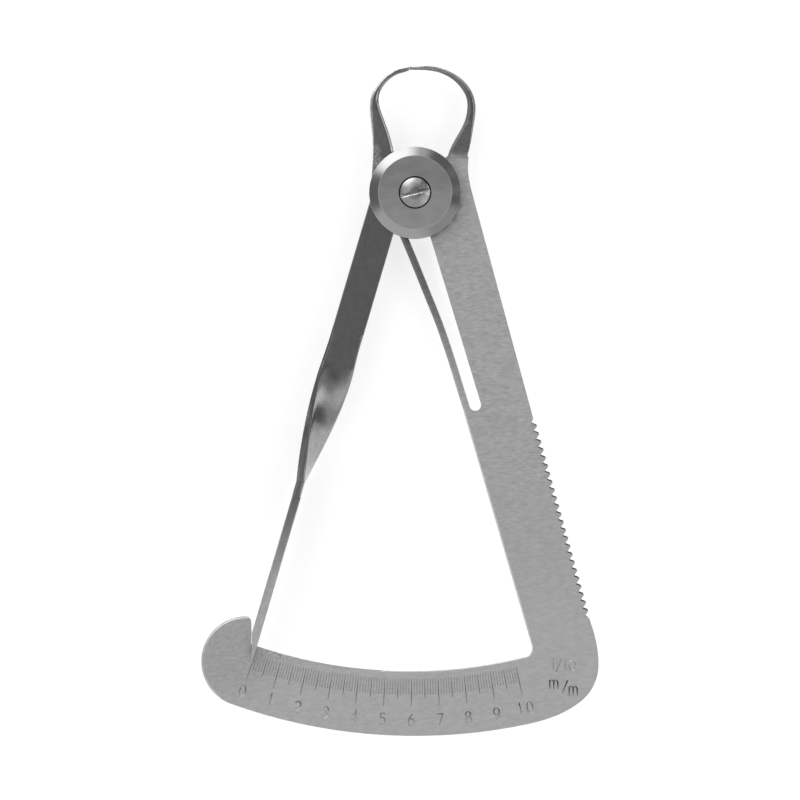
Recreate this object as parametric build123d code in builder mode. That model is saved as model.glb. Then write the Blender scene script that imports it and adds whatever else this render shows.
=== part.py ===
from build123d import *
from math import asin, atan2, cos, degrees, hypot, radians, sin, sqrt
import os

# A spring caliper that reads 0 to 10 mm in tenths: two arms on one pivot, their short ends bowed into
# measuring jaws and their long ends a pointer and a graduated sector. Millimetres.
# The origin is on the pivot's axis at the back of the nut. X and Y lie in the plate, Y towards the jaws,
# and Z points to the graduated face. An angle is measured from straight down, positive towards +X.

# Thicknesses of the layers on the pivot, from the back
nut_t = 1.6
plate_t = 1.5
washer_t = 0.15
arm_t = 1.3
disc_t = 1.8
end_play = 0.02

# Round pieces on the pivot
nut_r = 6.85
nut_face_r = 5.6
nut_rim_h = 0.8
disc_r = 6.85
disc_face_r = 5.5
disc_rim_h = 0.85
bush_r = 1.75
washer_r = 4.6
running_gap = 0.03
seat_gap = 0.02

# Screw
head_r = 2.3
head_gap = 0.14
head_h = 0.9
dome_h = 0.65
head_seat = 1.1
shank_r = 1.2
slot_w = 0.42
slot_depth = 0.6
slot_turn = 14.0
thread_chamfer = 0.2

# Frame plate: hub and right arm
frame_hub_r = 5.0
leaf_relief_r = 3.9
relief_turn = 140.0
neck_y = 5.45
neck_in_x = 4.68
neck_out_x = 8.0
neck_waist = 0.09
neck_waist_y = 3.92
neck_lean = -3.4
arm_edge_offset = 8.23
arm_edge_lean = 15.18
arm_edge_start = 3.4
arm_in_offset = -2.12
arm_in_lean = 16.2

# Leaf spring, sawn out of the arm, and the slot beside it
leaf_t = 1.07
leaf_root = 32.9
slot_end_r = 0.86
slot_lean = 16.86
leaf_mid = (3.97, -20.5)
leaf_high = (1.61, -14.5)
leaf_top = (-1.42, -7.1)
leaf_end = (-2.67, -4.3)
leaf_end_lean = 23.5

# Thumb serration: saw teeth down the arm's outer edge
tooth_count = 24
tooth_pitch = 1.245
tooth_end_gap = 3.92
root_depth = 0.45
crest_height = 0.3
crest_start = 0.2
crest_mid = 0.33
crest_end = 0.7
crest_top_drop = 0.06
crest_end_drop = 0.15
tooth_rise = 0.17
lead_in = 0.45

# Sector and zero stop
full_scale = 10.0
sector_in_r = 71.37
sector_in_shift = 0.9
sector_w = 9.68
sector_corner_r = 1.3
hook_r = 6.73
hook_beyond_zero = 0.7
stop_from_tip = 0.08
hook_corner_r = 0.9
heel_proud = 0.36
heel_out = 1.8
heel_rise = 10.65
heel_corner_r = 7.0
heel_corner_turn = 50.0
heel_join_turn = 12.1
edge_chamfer = 0.22
bevel_w = 1.3
bevel_fade = 3.0
bevel_drop = 0.4
bevel_run = 3.5

# Graduations and numerals, cut into the front face
mark_depth = 0.1
tick_w = 0.12
tick_start = 1.15
tick_fine = 2.35
tick_half = 2.95
tick_whole = 4.1
numeral_in = 2.4
numeral_h = 1.62
numeral_w = 1.0
numeral_step = 1.5
stroke_w = 0.2
unit_in = 2.45
unit_turn = 17.35
unit_gap = 3.15

# Pointer arm: hub, flat strip, quarter twist and pointer
arm_hub_r = 5.4
arm_base_y = 4.85
arm_base_out_x = -6.29
arm_base_in_x = -2.9
arm_waist = (-6.45, 2.6)
strip_w = 4.76
strip_lean = -16.45
strip_offset = -3.72
strip_shift = 0.38
strip_start = 3.0
strip_overlap = 0.5
strip_chamfer = 0.12
twist_start = 28.2
twist_end = 47.0
twist_steps = 10
twist_ease = 0.4
pointer_over = 2.93
taper_length = 14.4
pointer_lift = 0.2
pointer_tip_h = 0.5
notch_gap = 0.8
stop_gap = 0.03
tip_taper = 4.5
tip_flat = 0.05
waste_margin = 3.0

# Spring stud, riveted in the pointer arm's back
stud_r = 0.6
stud_shank_r = 0.4
stud_gap = 0.15
stud_from_end = 0.7

# Jaws, as places on the middle line and the width there, from the neck to the tip
jaw_tip_x = -0.8
jaw_tip_y = 18.6
jaw_tip_gap = 0.04
jaw_tip_w = 0.5
jaw_tip_h = 0.8
jaw_base_round = 0.06
jaw_tip_round = 0.42
jaw_round_stations = 5
jaw_facet_w = 0.4
jaw_facet_share = 0.4
jaw_facet_fall = 0.6
jaw_step = 0.04
frame_jaw = [
    (6.38, 5.0, 3.2),
    (6.96, 7.2, 2.55),
    (7.65, 9.0, 1.9),
    (8.18, 10.8, 1.4),
    (8.44, 12.6, 1.25),
    (8.2, 14.4, 1.12),
    (6.9, 16.45, 1.02),
    (5.1, 17.78, 0.84),
    (3.2, 18.42, 0.73),
    (1.3, 18.62, 0.6),
]
arm_jaw = [
    (-4.62, 4.3, 3.25),
    (-4.76, 6.2, 3.05),
    (-4.98, 7.85, 2.68),
    (-5.36, 9.65, 2.24),
    (-5.78, 11.4, 1.82),
    (-6.06, 13.1, 1.4),
    (-5.94, 14.5, 1.12),
    (-5.4, 15.65, 0.85),
    (-4.25, 17.05, 0.72),
    (-2.6, 18.05, 0.64),
]

# Heights that follow from the layers
plate_z = nut_t
plate_top = plate_z + plate_t
arm_z = plate_top + washer_t + end_play
arm_mid_z = arm_z + arm_t / 2
disc_z = arm_z + arm_t + end_play
top_z = disc_z + disc_t
jaw_z = (plate_z + plate_t / 2 + arm_mid_z) / 2
jaw_reach = hypot(jaw_tip_x, jaw_tip_y)
degrees_per_mm = 2 * degrees(asin(full_scale / (2 * jaw_reach))) / full_scale
standing = (Align.CENTER, Align.CENTER, Align.MIN)

# Lengths and places that follow from the sector and the pointer
sector_out_r = sector_in_r + sector_w
tooth_start = sector_in_r - tooth_end_gap - tooth_count * tooth_pitch
pointer_reach = sector_in_r + pointer_over
low_offset = strip_offset - strip_shift
zero_turn = -strip_lean - degrees(atan2(low_offset + arm_t / 2, pointer_reach))
hook_turn = zero_turn + hook_beyond_zero


def down(lean, s, across):
    """Point s along a leaning line, and across to the right of it."""
    a = radians(lean)
    return (across * cos(a) + s * sin(a), across * sin(a) - s * cos(a))


def heading(lean):
    """Direction along such a line, away from the pivot."""
    return (sin(radians(lean)), -cos(radians(lean)))


def polar(radius, turn, centre_x=0.0):
    """Point at a radius from the pivot, or from a centre beside it, turned from straight down."""
    return (centre_x + radius * sin(radians(turn)), -radius * cos(radians(turn)))


def meet(lean, across, radius, centre_x=0.0):
    """How far along a leaning line it crosses a circle, on the far side."""
    foot = down(lean, 0.0, across)
    way = heading(lean)
    px = foot[0] - centre_x
    along = px * way[0] + foot[1] * way[1]
    return -along + sqrt(radius**2 - (px**2 + foot[1] ** 2 - along**2))


def smooth(t):
    return t * t * (3 - 2 * t)


def jaw_sections(places, side, base_z, base_h):
    """Sections along a jaw, square to its middle line, with a facet ground on the upper inner corner."""
    stations = places + [(jaw_tip_x + side * jaw_tip_gap / 2, jaw_tip_y, jaw_tip_w)]
    last = len(stations) - 1
    sections = []
    for i, (x, y, width) in enumerate(stations):
        before = stations[max(i - 1, 0)]
        after = stations[min(i + 1, last)]
        run = hypot(after[0] - before[0], after[1] - before[1])
        way = ((after[0] - before[0]) / run, (after[1] - before[1]) / run)
        if i == last:
            way = (-side, 0.0)
        share = smooth(i / last)
        height = base_h + (jaw_tip_h - base_h) * share
        place = Plane(
            origin=(x, y, base_z + (jaw_z - base_z) * share),
            x_dir=(-way[1], way[0], 0),
            z_dir=(way[0], way[1], 0),
        )
        rounding = smooth(min(1.0, i / jaw_round_stations))
        corner = jaw_base_round + (jaw_tip_round - jaw_base_round) * rounding
        cut = min(jaw_facet_w, jaw_facet_share * width)
        with BuildSketch(place) as section:
            with BuildLine():
                Polyline(
                    (side * (width / 2 - cut), height / 2),
                    (side * width / 2, height / 2 - jaw_facet_fall * cut),
                    (side * width / 2, -height / 2),
                    (-side * width / 2, -height / 2),
                    (-side * width / 2, height / 2),
                    close=True,
                )
            make_face()
            facet_middle = place.from_local_coords((side * width / 2, height / 2))
            plain_corners = section.vertices().sort_by_distance(facet_middle)[2:]
            fillet(plain_corners, corner * min(width, height))
        sections.append(section.sketch)
    return sections


def strip_section(s, turn, shift):
    """The strip's section at s, turned about its own middle line, with small chamfers on its corners."""
    middle = down(strip_lean, s, strip_offset - shift)
    way = heading(strip_lean)
    side = (cos(radians(strip_lean)), sin(radians(strip_lean)))
    c = cos(radians(turn))
    place = Plane(
        origin=(middle[0], middle[1], arm_mid_z),
        x_dir=(side[0] * c, side[1] * c, -sin(radians(turn))),
        z_dir=(way[0], way[1], 0),
    )
    with BuildSketch(place) as section:
        Rectangle(strip_w, arm_t)
        chamfer(section.vertices(), strip_chamfer)
    return section.sketch


def strokes(lines, bows):
    """A numeral or letter in a box one wide and one high, made of straight strokes and bowed ones."""
    with BuildSketch() as glyph:
        for points in lines:
            with BuildLine():
                Polyline(*[((x - 0.5) * numeral_w, (y - 0.5) * numeral_h) for x, y in points])
            trace(line_width=stroke_w)
        for x, y, rx, ry, start, size in bows:
            with BuildLine():
                EllipticalCenterArc(
                    ((x - 0.5) * numeral_w, (y - 0.5) * numeral_h),
                    rx * numeral_w,
                    ry * numeral_h,
                    start,
                    arc_size=size,
                )
            trace(line_width=stroke_w)
    return glyph.sketch


# Numerals as an engraver cuts them, with the fewest strokes
numerals = {
    "0": strokes([], [(0.5, 0.5, 0.42, 0.5, 0, 180), (0.5, 0.5, 0.42, 0.5, 180, 180)]),
    "1": strokes([[(0.25, 0.75), (0.55, 1.0), (0.55, 0.0)]], []),
    "2": strokes([[(0.87, 0.58), (0.08, 0.0), (0.95, 0.0)]], [(0.5, 0.7, 0.4, 0.3, -35, 200)]),
    "3": strokes([], [(0.45, 0.76, 0.38, 0.24, -90, 240), (0.45, 0.26, 0.45, 0.26, -150, 240)]),
    "4": strokes([[(0.7, 0.0), (0.7, 1.0), (0.05, 0.3)], [(0.05, 0.3), (1.0, 0.3)]], []),
    "5": strokes([[(0.88, 1.0), (0.2, 1.0), (0.13, 0.55)]], [(0.45, 0.31, 0.45, 0.31, -140, 275)]),
    "6": strokes(
        [[(0.09, 0.3), (0.25, 0.72), (0.72, 1.0)]],
        [(0.5, 0.3, 0.41, 0.3, 0, 180), (0.5, 0.3, 0.41, 0.3, 180, 180)],
    ),
    "7": strokes([[(0.05, 1.0), (0.95, 1.0), (0.4, 0.0)]], []),
    "8": strokes(
        [],
        [
            (0.5, 0.77, 0.35, 0.23, 0, 180),
            (0.5, 0.77, 0.35, 0.23, 180, 180),
            (0.5, 0.27, 0.44, 0.27, 0, 180),
            (0.5, 0.27, 0.44, 0.27, 180, 180),
        ],
    ),
    "9": strokes(
        [[(0.91, 0.7), (0.75, 0.28), (0.28, 0.0)]],
        [(0.5, 0.7, 0.41, 0.3, 0, 180), (0.5, 0.7, 0.41, 0.3, 180, 180)],
    ),
    "/": strokes([[(0.1, -0.1), (0.9, 1.1)]], []),
    "m": strokes(
        [[(-0.1, 0.0), (-0.1, 0.85)], [(0.5, 0.0), (0.5, 0.58)], [(1.1, 0.0), (1.1, 0.58)]],
        [(0.2, 0.56, 0.3, 0.27, 0, 180), (0.8, 0.56, 0.3, 0.27, 0, 180)],
    ),
}

# Frame plate: right jaw, arm with the slot, sector and zero stop, cut from one plate
inner_centre_x = -sector_in_shift
arm_edge_end = sector_in_r - tooth_end_gap
heel_x = down(arm_edge_lean, arm_edge_end, arm_edge_offset)[0] + heel_out
heel_y = heel_rise - sector_out_r
stop_x = down(strip_lean, pointer_reach, low_offset + arm_t / 2)[0] - stop_from_tip
arm_in_foot = meet(arm_in_lean, arm_in_offset, sector_in_r, inner_centre_x)
hook_centre = polar(sector_out_r - hook_r, -hook_turn)
hook_top = (stop_x, hook_centre[1] + sqrt(hook_r**2 - (stop_x - hook_centre[0]) ** 2))
stop_foot = (stop_x, -sqrt(sector_in_r**2 - (stop_x - inner_centre_x) ** 2))
inner_mid = polar(sector_in_r, 0.0, inner_centre_x)
sector_corner = down(arm_in_lean, arm_in_foot, arm_in_offset)
slot_base = down(arm_in_lean, leaf_root, arm_in_offset + leaf_t)
slot_foot = down(arm_in_lean, leaf_root, arm_in_offset + leaf_t + 2 * slot_end_r)
slot_deep = down(arm_in_lean, leaf_root + slot_end_r, arm_in_offset + leaf_t + slot_end_r)
slot_across = slot_foot[0] * cos(radians(slot_lean)) + slot_foot[1] * sin(radians(slot_lean))
slot_head = down(slot_lean, meet(slot_lean, slot_across, leaf_relief_r), slot_across)
relief_start = degrees(atan2(slot_head[1], slot_head[0]))
neck_turn = degrees(atan2(neck_y, neck_in_x))

with BuildSketch(Plane.XY.offset(plate_z)) as frame_outline:
    with BuildLine():
        edge_top = down(arm_edge_lean, arm_edge_start, arm_edge_offset)
        waist = (neck_out_x - neck_waist, neck_waist_y)
        Spline((neck_out_x, neck_y), waist, edge_top, tangents=[heading(neck_lean), heading(arm_edge_lean)])
        tooth_lead = down(arm_edge_lean, tooth_start - lead_in, arm_edge_offset)
        Line(edge_top, tooth_lead)
        root = down(arm_edge_lean, tooth_start, arm_edge_offset - root_depth)
        Line(tooth_lead, root)
        for i in range(tooth_count):
            s = tooth_start + i * tooth_pitch
            height = arm_edge_offset + tooth_rise * (i + 1) / tooth_count
            top = down(arm_edge_lean, s + crest_start, height + crest_height - crest_top_drop)
            middle = down(arm_edge_lean, s + crest_mid, height + crest_height)
            end = down(arm_edge_lean, s + crest_end, height + crest_height - crest_end_drop)
            next_root = down(arm_edge_lean, s + tooth_pitch, height - root_depth)
            Line(root, top)
            ThreePointArc(top, middle, end)
            Line(end, next_root)
            root = next_root
        heel_top = down(arm_edge_lean, arm_edge_end + crest_start, arm_edge_offset + heel_proud)
        Line(root, heel_top)
        Spline(heel_top, (heel_x, heel_y), tangents=[heading(arm_edge_lean), (0, -1)])
        corner = JernArc((heel_x, heel_y), (0, -1), heel_corner_r, -heel_corner_turn)
        heel_join = polar(sector_out_r, heel_join_turn)
        join_way = (-cos(radians(heel_join_turn)), -sin(radians(heel_join_turn)))
        Spline(corner @ 1, heel_join, tangents=[corner % 1, join_way])
        hook_join = polar(sector_out_r, -hook_turn)
        outer_mid = polar(sector_out_r, (heel_join_turn - hook_turn) / 2)
        ThreePointArc(heel_join, outer_mid, hook_join)
        ThreePointArc(hook_join, (hook_centre[0] - hook_r, hook_centre[1]), hook_top)
        Line(hook_top, stop_foot)
        ThreePointArc(stop_foot, inner_mid, sector_corner)
        leaf_side = down(arm_in_lean, leaf_root, arm_in_offset)
        Line(sector_corner, leaf_side)
        Line(leaf_side, slot_base)
        ThreePointArc(slot_base, slot_deep, slot_foot)
        Line(slot_foot, slot_head)
        relief_end = -relief_turn
        relief_mid = (relief_start + relief_end) / 2
        relief_foot = (leaf_relief_r * cos(radians(relief_end)), leaf_relief_r * sin(radians(relief_end)))
        hub_foot = (frame_hub_r * cos(radians(relief_end)), frame_hub_r * sin(radians(relief_end)))
        hub_head = (frame_hub_r * cos(radians(neck_turn)), frame_hub_r * sin(radians(neck_turn)))
        ThreePointArc(
            slot_head,
            (leaf_relief_r * cos(radians(relief_mid)), leaf_relief_r * sin(radians(relief_mid))),
            relief_foot,
        )
        Line(relief_foot, hub_foot)
        ThreePointArc(hub_foot, (-frame_hub_r * sin(radians(45)), frame_hub_r * sin(radians(45))), hub_head)
        Line(hub_head, (neck_in_x, neck_y))
        Line((neck_in_x, neck_y), (neck_out_x, neck_y))
    make_face()
    fillet(frame_outline.vertices().sort_by_distance((*hook_top, plate_z))[0], hook_corner_r)
    fillet(frame_outline.vertices().sort_by_distance((*sector_corner, plate_z))[0], sector_corner_r)

with BuildSketch(Plane.XY.offset(plate_top)) as scale_marks:
    ticks = {tick_fine: [], tick_half: [], tick_whole: []}
    for i in range(round(full_scale * 10) + 1):
        length = tick_fine
        if i % 5 == 0:
            length = tick_half
        if i % 10 == 0:
            length = tick_whole
        turn = -zero_turn + i * degrees_per_mm / 10
        start = sector_in_r - sector_in_shift * sin(radians(turn)) + tick_start
        ticks[length].append(Location((*polar(start + length / 2, turn), 0), (0, 0, turn)))
    for length, places in ticks.items():
        with Locations(*places):
            Rectangle(tick_w, length)
    for i in range(round(full_scale) + 1):
        turn = -zero_turn + i * degrees_per_mm
        text = str(i)
        for k, digit in enumerate(text):
            side = (k - (len(text) - 1) / 2) * numeral_step
            with Locations(Location((*down(turn, sector_out_r - numeral_in, side), 0), (0, 0, turn))):
                add(numerals[digit])
    unit_place = polar(sector_in_r + unit_in, unit_turn)
    tenth = [("1", -1.45, 0.0), ("/", -0.55, 0.0), ("1", 0.35, 0.0), ("0", 1.45, 0.0)]
    unit = [("m", -1.3, 0.35), ("/", 0.35, -0.1), ("m", 1.6, -0.6)]
    for row, letters in enumerate([tenth, unit]):
        for letter, along, rise in letters:
            with Locations((unit_place[0] + along, unit_place[1] + rise - row * unit_gap)):
                add(numerals[letter])

# The sector's inner edge is bevelled, most at the zero stop, by a cone whose axis is shifted aside
bevel_shift = (bevel_w - edge_chamfer) / sin(radians(zero_turn - bevel_fade))
bevel_x = inner_centre_x - bevel_shift
bevel_r = sector_in_r + edge_chamfer - bevel_shift * sin(radians(bevel_fade))
bevel_turn = degrees(atan2(bevel_x - stop_x, -stop_foot[1]))
with BuildPart() as bevel_cutter:
    bevel_plane = Plane(
        origin=(bevel_x, 0, plate_top),
        x_dir=(*heading(-bevel_turn), 0),
        z_dir=(cos(radians(bevel_turn)), sin(radians(-bevel_turn)), 0),
    )
    with BuildSketch(bevel_plane):
        with BuildLine():
            Polyline(
                (bevel_r, 0),
                (bevel_r - bevel_run, -bevel_run * bevel_drop),
                (bevel_r - bevel_run, bevel_drop),
                (bevel_r, bevel_drop),
                close=True,
            )
        make_face()
    revolve(axis=Axis((bevel_x, 0, 0), (0, 0, 1)), revolution_arc=bevel_turn)

with BuildPart() as frame_plate:
    add(frame_outline.sketch)
    extrude(amount=plate_t)
    front_edges = frame_plate.edges().group_by(Axis.Z)[-1]
    inner_edge = front_edges.sort_by_distance((*inner_mid, plate_top))[0]
    corner_edge = front_edges.sort_by_distance((*sector_corner, plate_top))[0]
    chamfer([inner_edge, corner_edge], edge_chamfer)
    add(bevel_cutter.part, mode=Mode.SUBTRACT)
    loft(jaw_sections(frame_jaw, 1, plate_z + plate_t / 2, plate_t - jaw_step))
    with Locations((0, 0, plate_z)):
        Cylinder(bush_r + running_gap, plate_t, align=standing, mode=Mode.SUBTRACT)
    extrude(scale_marks.sketch, amount=-mark_depth, mode=Mode.SUBTRACT)

frame_plate.part.label = "frame_plate"

# Leaf spring: sawn free of the arm, set towards the pointer arm and still joined to the arm at its root
leaf_start = down(arm_in_lean, leaf_root, arm_in_offset + leaf_t / 2)
with BuildPart() as leaf_spring:
    with BuildSketch(Plane.XY.offset(plate_z)):
        with BuildLine():
            leaf_line = Spline(
                leaf_end,
                leaf_top,
                leaf_high,
                leaf_mid,
                leaf_start,
                tangents=[heading(leaf_end_lean), heading(arm_in_lean)],
            )
        trace(line_width=leaf_t)
    extrude(amount=plate_t)
leaf_spring.part.label = "leaf_spring"

# Spring stud: riveted in the pointer arm, its shoulder against the leaf's free end
push_at = leaf_line.position_at(stud_from_end / leaf_line.length)
push_way = leaf_line.tangent_at(stud_from_end / leaf_line.length)
stud_side = leaf_t / 2 + stud_r + seat_gap
stud_place = (push_at.X + push_way.Y * stud_side, push_at.Y - push_way.X * stud_side)
with BuildPart() as spring_stud:
    with Locations((*stud_place, plate_z + stud_gap)):
        Cylinder(stud_r, arm_z - plate_z - stud_gap, align=standing)
        Cylinder(stud_shank_r, arm_z + arm_t - plate_z - stud_gap, align=standing)
spring_stud.part.label = "spring_stud"

# Pointer arm: hub and left jaw, a flat strip, a quarter twist, and the pointer standing on edge
strip_left = down(strip_lean, strip_start, strip_offset - strip_w / 2)
strip_right = down(strip_lean, strip_start, strip_offset + strip_w / 2)
notch_s = sector_in_r - notch_gap
lower_z = arm_mid_z - strip_w / 2
upper_z = arm_mid_z + strip_w / 2
tip_z = plate_top + pointer_lift
taper_start = pointer_reach - taper_length
tip_start = pointer_reach - tip_taper
waste_end = pointer_reach + waste_margin

with BuildPart() as pointer_arm:
    with BuildSketch(Plane.XY.offset(arm_z)):
        Circle(arm_hub_r)
        with BuildLine():
            Spline((arm_base_out_x, arm_base_y), arm_waist, strip_left)
            base_in = (arm_base_in_x, arm_base_y)
            Polyline(strip_left, strip_right, (0, 0), base_in, (arm_base_out_x, arm_base_y))
        make_face()
    extrude(amount=arm_t)
    loft([strip_section(strip_start - strip_overlap, 0, 0), strip_section(twist_start, 0, 0)])
    twist = []
    for i in range(twist_steps + 1):
        u = i / twist_steps
        turn = 90 * ((1 - twist_ease) * u + twist_ease * sin(radians(90 * u)))
        s = twist_start + (twist_end - twist_start) * u
        twist.append(strip_section(s, turn, strip_shift * smooth(u)))
    loft(twist)
    loft([strip_section(twist_end, 90, strip_shift), strip_section(pointer_reach, 90, strip_shift)])
    side_plane = Plane(
        origin=(*down(strip_lean, 0, low_offset), 0),
        x_dir=(*heading(strip_lean), 0),
        z_dir=(cos(radians(strip_lean)), sin(radians(strip_lean)), 0),
    )
    with BuildSketch(side_plane):
        with BuildLine():
            Polyline(
                (taper_start, -upper_z),
                (pointer_reach, -tip_z - pointer_tip_h),
                (pointer_reach, -tip_z),
                (notch_s, -tip_z),
                (notch_s, -lower_z + waste_margin),
                (waste_end, -lower_z + waste_margin),
                (waste_end, -upper_z - waste_margin),
                (taper_start, -upper_z - waste_margin),
                close=True,
            )
        make_face()
    extrude(amount=arm_t, both=True, mode=Mode.SUBTRACT)
    with BuildSketch(Plane.XY.offset(upper_z)):
        with BuildLine():
            Polyline(
                down(strip_lean, tip_start, low_offset - arm_t / 2),
                down(strip_lean, pointer_reach, low_offset + arm_t / 2 - tip_flat),
                down(strip_lean, waste_end, low_offset + arm_t / 2 - tip_flat),
                down(strip_lean, waste_end, low_offset - arm_t),
                down(strip_lean, tip_start, low_offset - arm_t),
                close=True,
            )
        make_face()
    extrude(amount=-strip_w, mode=Mode.SUBTRACT)
    with Locations((stop_x + stop_gap, hook_centre[1], tip_z)):
        Box(hook_r, 2 * hook_r, strip_w, align=(Align.MAX, Align.CENTER, Align.MAX), mode=Mode.SUBTRACT)
    loft(jaw_sections(arm_jaw, -1, arm_mid_z, arm_t - jaw_step))
    with Locations((0, 0, arm_z)):
        Cylinder(bush_r + running_gap, arm_t, align=standing, mode=Mode.SUBTRACT)
    with Locations((*stud_place, arm_z)):
        Cylinder(stud_shank_r + seat_gap, arm_t, align=standing, mode=Mode.SUBTRACT)
pointer_arm.part.label = "pointer_arm"

# Rear nut: a bevelled round nut that takes the screw's end
with BuildPart() as rear_nut:
    with BuildSketch(Plane.XZ):
        with BuildLine():
            Polyline(
                (shank_r + seat_gap, 0),
                (nut_face_r, 0),
                (nut_r, nut_t - nut_rim_h),
                (nut_r, nut_t),
                (shank_r + seat_gap, nut_t),
                close=True,
            )
        make_face()
    revolve(axis=Axis.Z)
rear_nut.part.label = "rear_nut"

# Pivot bush: both arms turn on it, and it keeps the disc and the nut apart
with BuildPart() as pivot_bush:
    with Locations((0, 0, plate_z)):
        Cylinder(bush_r, disc_z - plate_z, align=standing)
        Cylinder(shank_r + seat_gap, disc_z - plate_z, align=standing, mode=Mode.SUBTRACT)
pivot_bush.part.label = "pivot_bush"

# Friction washer between the plate and the pointer arm
with BuildPart() as friction_washer:
    with Locations((0, 0, plate_top)):
        Cylinder(washer_r, washer_t, align=standing)
        Cylinder(bush_r + running_gap, washer_t, align=standing, mode=Mode.SUBTRACT)
friction_washer.part.label = "friction_washer"

# Front disc: bevelled, with a counterbore for the screw's head
with BuildPart() as front_disc:
    with BuildSketch(Plane.XZ):
        with BuildLine():
            Polyline(
                (shank_r + seat_gap, disc_z),
                (disc_r, disc_z),
                (disc_r, disc_z + disc_rim_h),
                (disc_face_r, top_z),
                (head_r + head_gap, top_z),
                (head_r + head_gap, top_z - head_seat),
                (shank_r + seat_gap, top_z - head_seat),
                close=True,
            )
        make_face()
    revolve(axis=Axis.Z)
front_disc.part.label = "front_disc"

# Pivot screw: domed slotted head in the counterbore, shank down to the nut's back
seat_z = top_z - head_seat
rim_z = seat_z + head_h
with BuildPart() as pivot_screw:
    with BuildSketch(Plane.XZ):
        with BuildLine():
            Line((0, 0), (shank_r - thread_chamfer, 0))
            Line((shank_r - thread_chamfer, 0), (shank_r, thread_chamfer))
            Line((shank_r, thread_chamfer), (shank_r, seat_z))
            Line((shank_r, seat_z), (head_r, seat_z))
            Line((head_r, seat_z), (head_r, rim_z))
            dome_r = (head_r**2 + dome_h**2) / (2 * dome_h)
            half_turn = radians(45) * head_r / dome_r
            dome_mid = (dome_r * sin(half_turn), rim_z + dome_h - dome_r * (1 - cos(half_turn)))
            ThreePointArc((head_r, rim_z), dome_mid, (0, rim_z + dome_h))
            Line((0, rim_z + dome_h), (0, 0))
        make_face()
    revolve(axis=Axis.Z)
    with BuildSketch(Plane.XY.offset(rim_z + dome_h)):
        Rectangle(3 * head_r, slot_w, rotation=slot_turn)
    extrude(amount=-slot_depth, mode=Mode.SUBTRACT)
pivot_screw.part.label = "pivot_screw"

os.makedirs("parts", exist_ok=True)
pieces = (
    rear_nut,
    frame_plate,
    leaf_spring,
    friction_washer,
    pointer_arm,
    spring_stud,
    pivot_bush,
    front_disc,
    pivot_screw,
)
for piece in pieces:
    export_step(piece.part, "parts/" + piece.part.label + ".step")
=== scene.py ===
import math
import bmesh
import bpy
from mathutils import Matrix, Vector
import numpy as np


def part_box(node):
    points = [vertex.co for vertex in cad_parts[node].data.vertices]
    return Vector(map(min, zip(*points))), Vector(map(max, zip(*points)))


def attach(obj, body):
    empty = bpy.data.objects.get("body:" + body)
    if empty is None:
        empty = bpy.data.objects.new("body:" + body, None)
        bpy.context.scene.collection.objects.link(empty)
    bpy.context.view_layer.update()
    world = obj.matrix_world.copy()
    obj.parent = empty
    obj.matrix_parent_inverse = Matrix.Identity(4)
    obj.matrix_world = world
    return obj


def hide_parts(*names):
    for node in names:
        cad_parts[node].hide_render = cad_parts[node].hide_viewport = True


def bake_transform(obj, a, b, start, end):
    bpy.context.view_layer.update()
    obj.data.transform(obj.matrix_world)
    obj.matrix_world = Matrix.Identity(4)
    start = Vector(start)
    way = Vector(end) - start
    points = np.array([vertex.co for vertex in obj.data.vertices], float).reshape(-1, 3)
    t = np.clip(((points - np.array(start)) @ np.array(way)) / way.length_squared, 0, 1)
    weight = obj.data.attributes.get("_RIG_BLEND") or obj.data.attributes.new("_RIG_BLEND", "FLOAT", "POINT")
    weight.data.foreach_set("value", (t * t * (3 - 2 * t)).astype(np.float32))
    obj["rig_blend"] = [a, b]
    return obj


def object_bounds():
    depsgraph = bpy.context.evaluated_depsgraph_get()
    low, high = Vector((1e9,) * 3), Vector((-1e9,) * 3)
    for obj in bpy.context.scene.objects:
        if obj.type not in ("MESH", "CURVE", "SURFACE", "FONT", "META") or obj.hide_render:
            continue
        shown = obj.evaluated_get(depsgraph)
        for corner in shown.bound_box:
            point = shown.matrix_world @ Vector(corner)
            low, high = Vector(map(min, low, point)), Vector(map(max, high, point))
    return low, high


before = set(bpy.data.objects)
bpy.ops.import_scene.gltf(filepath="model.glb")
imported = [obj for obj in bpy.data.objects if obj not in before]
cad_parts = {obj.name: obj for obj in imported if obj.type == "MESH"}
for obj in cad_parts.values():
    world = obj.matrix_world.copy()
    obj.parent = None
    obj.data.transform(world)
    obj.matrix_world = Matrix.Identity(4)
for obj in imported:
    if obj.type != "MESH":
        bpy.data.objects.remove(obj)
cad_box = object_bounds()

# Rear nut
# A round turned nut of stainless steel, bevelled towards the back. The pivot screw's end is
# flush in it, and the caliper lies on it. Its face and bevel keep the fine rings of the lathe.
MM = 0.001


def rough_shape(node, thin_from=None):
    """A piece's own shape in a bmesh, with its doubles merged and its flat faces whole.

    Past thin_from along Y the piece runs out so thin that its slivers are merged too."""
    same_place, flat_angle = 0.0005 * MM, math.radians(0.05)
    seam, sliver, least_side = 0.0001 * MM, 0.04 * MM, 0.01 * MM
    shape = bmesh.new()
    shape.from_mesh(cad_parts[node].data)
    if thin_from:
        bmesh.ops.remove_doubles(shape, verts=shape.verts, dist=seam)
        thin = [vert for vert in shape.verts if vert.co.y > thin_from * MM]
        bmesh.ops.remove_doubles(shape, verts=thin, dist=sliver)
        thin = [side for side in shape.edges if side.verts[0].co.y > thin_from * MM]
        bmesh.ops.dissolve_degenerate(shape, edges=thin, dist=least_side)
    bmesh.ops.remove_doubles(shape, verts=shape.verts, dist=same_place)
    bmesh.ops.dissolve_limit(shape, angle_limit=flat_angle, verts=shape.verts, edges=shape.edges)
    return shape


def shown_mesh(thing):
    """A mesh of its own with what an object shows with its modifiers on."""
    seen = thing.evaluated_get(bpy.context.evaluated_depsgraph_get())
    return bpy.data.meshes.new_from_object(seen)


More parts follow.
